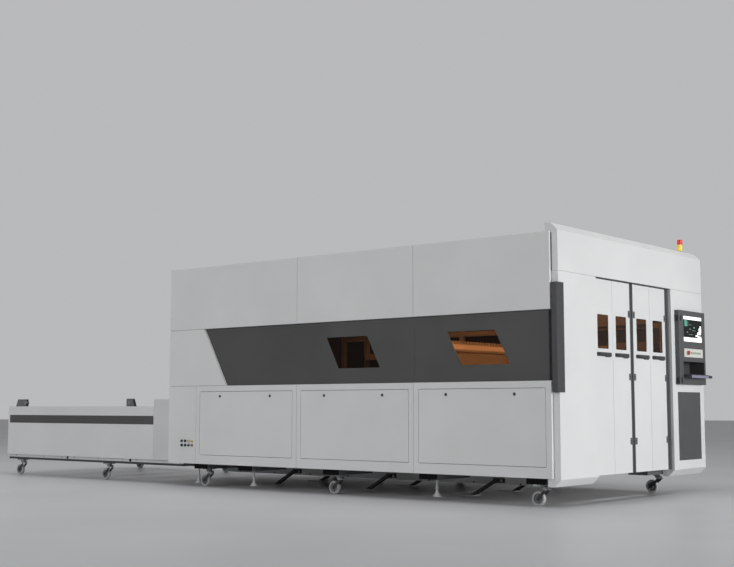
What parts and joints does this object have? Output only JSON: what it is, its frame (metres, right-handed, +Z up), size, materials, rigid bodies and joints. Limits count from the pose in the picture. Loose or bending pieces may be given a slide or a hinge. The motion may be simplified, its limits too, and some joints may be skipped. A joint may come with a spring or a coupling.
{
  "type": "enclosed sheet laser cutting machine with exchange table",
  "caption": "Enclosed sheet cutter with a folding door, gantry and head, console, and a two-level pallet exchange table on casters.",
  "frame": {"origin": "on the floor under the middle of the whole machine's bounding box", "axes": "+X along the machine from the exchange table to the folding door, +Y from the long service side to the far side, +Z up"},
  "size_m": [8.019, 2.866, 2.478],
  "materials": {
    "white_powder_coat": "satin",
    "dark_powder_coat": "satin",
    "grey_frame_paint": "matte",
    "black_oxide": "matte",
    "amber_acrylic": "gloss",
    "ground_steel": "brushed",
    "mill_steel": "rolled",
    "zinc_plate": "plated",
    "black_plastic": "moulded",
    "screen_glass": "gloss",
    "red_plastic": "gloss",
    "caster_tyre": "moulded",
    "green_plastic": "gloss",
    "gantry_aluminium": "machined",
    "motor_grey": "cast"
  },
  "bodies": {
    "machine": {"base_frame": "grey_frame_paint", "floor_braces": "black_oxide", "levelling_feet": "zinc_plate", "caster_forks": "black_oxide", "caster_wheels": "caster_tyre", "enclosure_frame": "grey_frame_paint", "near_upper_panels": "white_powder_coat", "near_lower_panels": "white_powder_coat", "hose_connectors": "black_plastic", "near_band": "dark_powder_coat", "side_windows": "amber_acrylic", "far_panels": "white_powder_coat", "rear_wall": "white_powder_coat", "roof_panels": "white_powder_coat", "portal_legs": "white_powder_coat", "portal_header": "white_powder_coat", "corner_trim": "black_plastic", "door_frame": "dark_powder_coat", "console_housing": "dark_powder_coat", "console_screen": "screen_glass", "button_plate": "white_powder_coat", "cabinet_panel": "dark_powder_coat", "signal_lamp": "red_plastic", "junction_housing": "white_powder_coat", "table_frame": "grey_frame_paint", "table_panels": "white_powder_coat", "guide_brackets": "grey_frame_paint", "pallet_rails": "mill_steel", "drive_chains": "black_oxide", "exchange_motor": "motor_grey", "scrap_trays": "mill_steel", "gantry_bed": "grey_frame_paint"},
    "leaf_1": {"leaf_1": "white_powder_coat", "leaf_1_window": "amber_acrylic", "leaf_1_hardware": "black_oxide"},
    "leaf_2": {"leaf_2": "white_powder_coat", "leaf_2_window": "amber_acrylic", "leaf_2_hardware": "black_oxide"},
    "leaf_3": {"leaf_3": "white_powder_coat", "leaf_3_window": "amber_acrylic", "leaf_3_hardware": "black_oxide"},
    "leaf_4": {"leaf_4": "white_powder_coat", "leaf_4_window": "amber_acrylic", "leaf_4_hardware": "black_oxide"},
    "access_door_1": {"access_door_1": "white_powder_coat"},
    "access_door_2": {"access_door_2": "white_powder_coat"},
    "access_door_3": {"access_door_3": "white_powder_coat"},
    "gantry_beam": {"gantry_beam": "gantry_aluminium"},
    "cross_carriage": {"cross_carriage": "gantry_aluminium"},
    "cutting_head": {"cutting_head": "black_plastic"},
    "upper_pallet": {"upper_pallet": "mill_steel"},
    "lower_pallet": {"lower_pallet": "mill_steel"},
    "keyboard_tray": {"keyboard_tray": "dark_powder_coat"},
    "estop_button": {"estop_button": "red_plastic"},
    "drive_shaft": {"drive_shaft": "ground_steel"},
    "push_button_1": {"push_button_1": "green_plastic"},
    "push_button_2": {"push_button_2": "green_plastic"},
    "push_button_3": {"push_button_3": "green_plastic"},
    "push_button_4": {"push_button_4": "green_plastic"},
    "push_button_5": {"push_button_5": "green_plastic"}
  },
  "joints": [
    {"name": "leaf_4_fold", "type": "hinge", "parent": "machine", "child": "leaf_4", "pos_m": [3.8645, 0.6605, 1.09], "axis": [0, 0, 1], "range_deg": [0, 78]},
    {"name": "leaf_3_fold", "type": "hinge", "parent": "leaf_4", "child": "leaf_3", "pos_m": [3.8225, 0.2985, 1.09], "axis": [0, 0, 1], "range_deg": [-156, 0]},
    {"name": "leaf_2_fold", "type": "hinge", "parent": "leaf_3", "child": "leaf_2", "pos_m": [3.8645, -0.0635, 1.09], "axis": [0, 0, 1], "range_deg": [0, 156]},
    {"name": "leaf_1_fold", "type": "hinge", "parent": "leaf_2", "child": "leaf_1", "pos_m": [3.8225, -0.4255, 1.09], "axis": [0, 0, 1], "range_deg": [-156, 0]},
    {"name": "access_door_1_tilt", "type": "hinge", "parent": "machine", "child": "access_door_1", "pos_m": [3.1135, -1.42, 0.337], "axis": [1, 0, 0], "range_deg": [0, 90]},
    {"name": "access_door_2_tilt", "type": "hinge", "parent": "machine", "child": "access_door_2", "pos_m": [1.6935, -1.42, 0.337], "axis": [1, 0, 0], "range_deg": [0, 90]},
    {"name": "access_door_3_tilt", "type": "hinge", "parent": "machine", "child": "access_door_3", "pos_m": [0.2735, -1.42, 0.337], "axis": [1, 0, 0], "range_deg": [0, 90]},
    {"name": "gantry_travel", "type": "slide", "parent": "machine", "child": "gantry_beam", "axis": [1, 0, 0], "range_m": [-2.4, 1]},
    {"name": "cross_travel", "type": "slide", "parent": "gantry_beam", "child": "cross_carriage", "axis": [0, 1, 0], "range_m": [-1.47, 0.03]},
    {"name": "head_travel", "type": "slide", "parent": "cross_carriage", "child": "cutting_head", "axis": [0, 0, 1], "range_m": [-0.19, 0.02]},
    {"name": "upper_pallet_exchange", "type": "slide", "parent": "machine", "child": "upper_pallet", "axis": [1, 0, 0], "range_m": [0, 3.5]},
    {"name": "lower_pallet_exchange", "type": "slide", "parent": "machine", "child": "lower_pallet", "axis": [1, 0, 0], "range_m": [-3.5, 0]},
    {"name": "drive_shaft_turn", "type": "hinge", "parent": "machine", "child": "drive_shaft", "pos_m": [-3.9195, -0.25, 0.615], "axis": [0, 1, 0], "continuous": true},
    {"name": "keyboard_tray_slide", "type": "slide", "parent": "machine", "child": "keyboard_tray", "axis": [1, 0, 0], "range_m": [-0.075, 0.04]},
    {"name": "estop_press", "type": "slide", "parent": "machine", "child": "estop_button", "axis": [-1, 0, 0], "range_m": [0, 0.005]},
    {"name": "push_button_1_press", "type": "slide", "parent": "machine", "child": "push_button_1", "axis": [-1, 0, 0], "range_m": [0, 0.003], "stiffness_N_per_m": 400, "springref_m": -0.001},
    {"name": "push_button_2_press", "type": "slide", "parent": "machine", "child": "push_button_2", "axis": [-1, 0, 0], "range_m": [0, 0.003], "stiffness_N_per_m": 400, "springref_m": -0.001},
    {"name": "push_button_3_press", "type": "slide", "parent": "machine", "child": "push_button_3", "axis": [-1, 0, 0], "range_m": [0, 0.003], "stiffness_N_per_m": 400, "springref_m": -0.001},
    {"name": "push_button_4_press", "type": "slide", "parent": "machine", "child": "push_button_4", "axis": [-1, 0, 0], "range_m": [0, 0.003], "stiffness_N_per_m": 400, "springref_m": -0.001},
    {"name": "push_button_5_press", "type": "slide", "parent": "machine", "child": "push_button_5", "axis": [-1, 0, 0], "range_m": [0, 0.003], "stiffness_N_per_m": 400, "springref_m": -0.001}
  ],
  "couplings": [
    {"joint": "leaf_3_fold", "follows": "leaf_4_fold", "ratio": -2},
    {"joint": "leaf_2_fold", "follows": "leaf_4_fold", "ratio": 2},
    {"joint": "leaf_1_fold", "follows": "leaf_4_fold", "ratio": -2},
    {"joint": "lower_pallet_exchange", "follows": "upper_pallet_exchange", "ratio": -1},
    {"joint": "drive_shaft_turn", "follows": "upper_pallet_exchange", "rad_per_m": 22.222}
  ]
}
